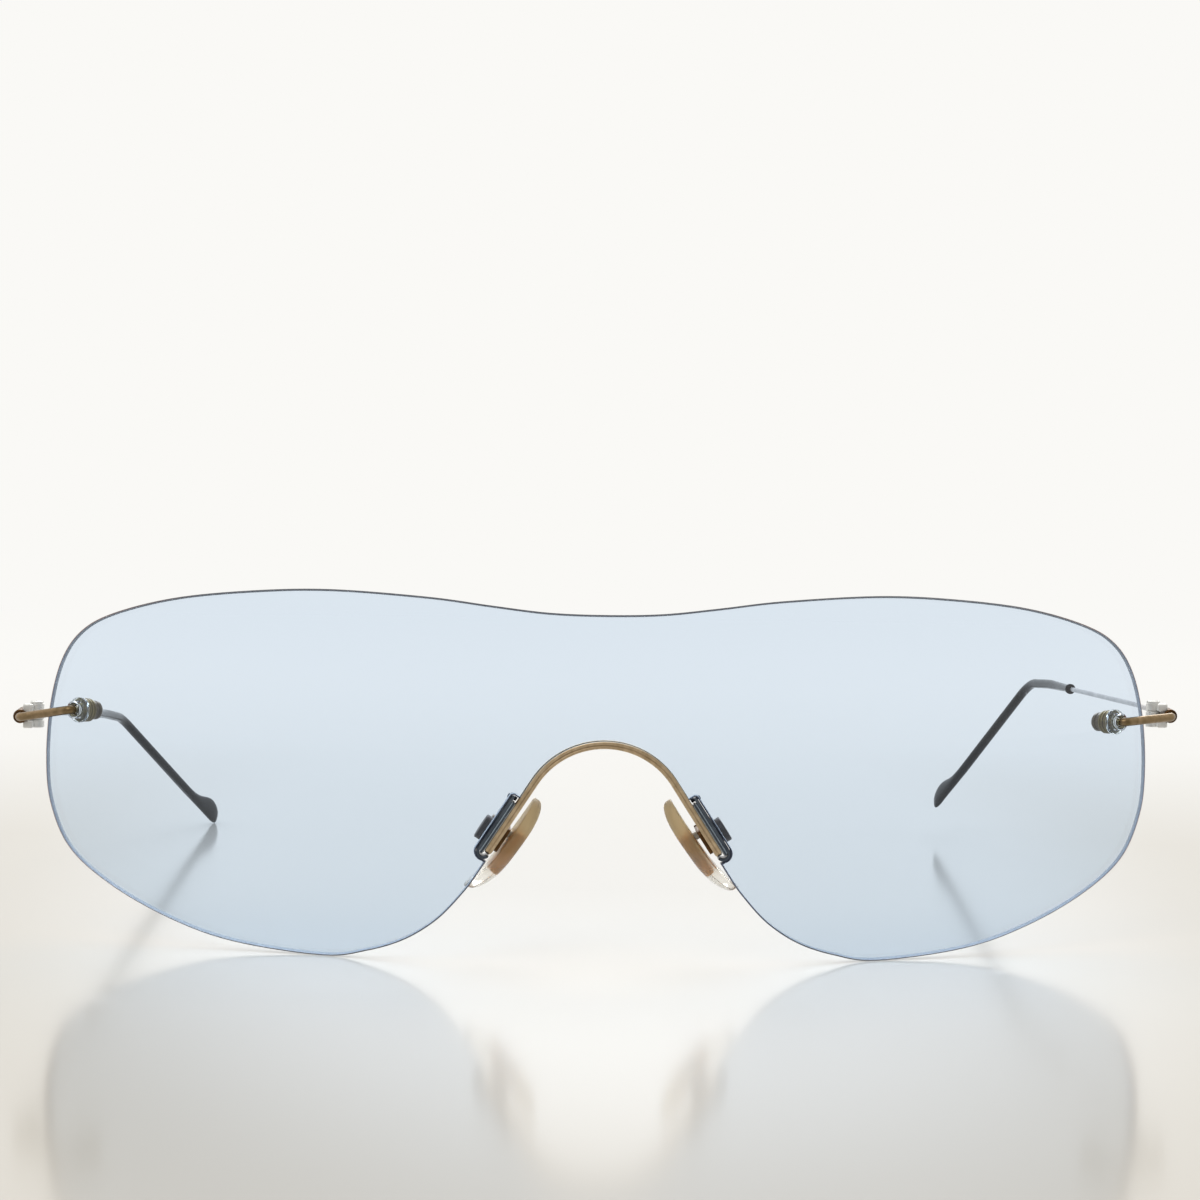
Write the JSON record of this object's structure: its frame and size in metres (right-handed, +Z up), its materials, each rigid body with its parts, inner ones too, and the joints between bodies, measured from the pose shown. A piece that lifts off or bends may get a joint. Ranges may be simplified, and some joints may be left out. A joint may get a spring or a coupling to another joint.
{
  "type": "shield sunglasses",
  "caption": "Rimless one-piece shield sunglasses with wire temples that fold, rocking nose pads and black temple tips.",
  "frame": {"origin": "on the table under the middle of the whole object's box, with the temples open", "axes": "+X to the right as seen from the front, +Y from the lens back along the temples, +Z up"},
  "size_m": [0.151, 0.1535, 0.0456],
  "materials": {
    "lens": "light blue tint, polished both sides",
    "clear_plastic": "clear, moulded",
    "bronze_metal": "satin, warm grey-bronze plating",
    "dark_metal": "satin, dark gunmetal plating",
    "brown_metal": "satin, brown-bronze plating",
    "nut_metal": "turned, olive-grey plating",
    "copper_metal": "satin copper-brown",
    "bright_metal": "polished",
    "pad_silicone": "translucent amber, soft",
    "tip_sleeve": "black, smooth"
  },
  "bodies": {
    "front": {"shield_lens": "lens", "bridge_band": "bronze_metal", "left_band_hook": "dark_metal", "right_band_hook": "dark_metal", "left_clamp_key": "clear_plastic", "right_clamp_key": "clear_plastic", "left_clamp_screw": "dark_metal", "right_clamp_screw": "dark_metal", "left_pad_arm": "brown_metal", "right_pad_arm": "brown_metal", "left_pad_screw": "bright_metal", "right_pad_screw": "bright_metal", "left_end_piece": "bronze_metal", "right_end_piece": "bronze_metal", "left_lens_bushing": "clear_plastic", "right_lens_bushing": "clear_plastic", "left_lens_nut": "nut_metal", "right_lens_nut": "nut_metal", "left_end_cap": "nut_metal", "right_end_cap": "nut_metal", "left_hinge_screw": "bright_metal", "right_hinge_screw": "bright_metal"},
    "left_temple": {"left_temple": "bright_metal", "left_temple_tip": "tip_sleeve"},
    "right_temple": {"right_temple": "bright_metal", "right_temple_tip": "tip_sleeve"},
    "left_pad": {"left_nose_pad": "pad_silicone", "left_pad_core": "copper_metal"},
    "right_pad": {"right_nose_pad": "pad_silicone", "right_pad_core": "copper_metal"}
  },
  "joints": [
    {"name": "left_temple_fold", "type": "hinge", "parent": "front", "child": "left_temple", "pos_m": [-0.07272, -0.04379, 0.02743], "axis": [0, 0, -1], "range_deg": [0, 89]},
    {"name": "right_temple_fold", "type": "hinge", "parent": "front", "child": "right_temple", "pos_m": [0.07272, -0.04365, 0.02918], "axis": [0, 0, 1], "range_deg": [0, 82]},
    {"name": "left_pad_rock", "type": "hinge", "parent": "front", "child": "left_pad", "pos_m": [-0.01282, -0.06906, 0.01633], "axis": [0, 1, 0], "range_deg": [-8, 8]},
    {"name": "right_pad_rock", "type": "hinge", "parent": "front", "child": "right_pad", "pos_m": [0.01282, -0.06906, 0.01633], "axis": [0, 1, 0], "range_deg": [-8, 8]}
  ]
}
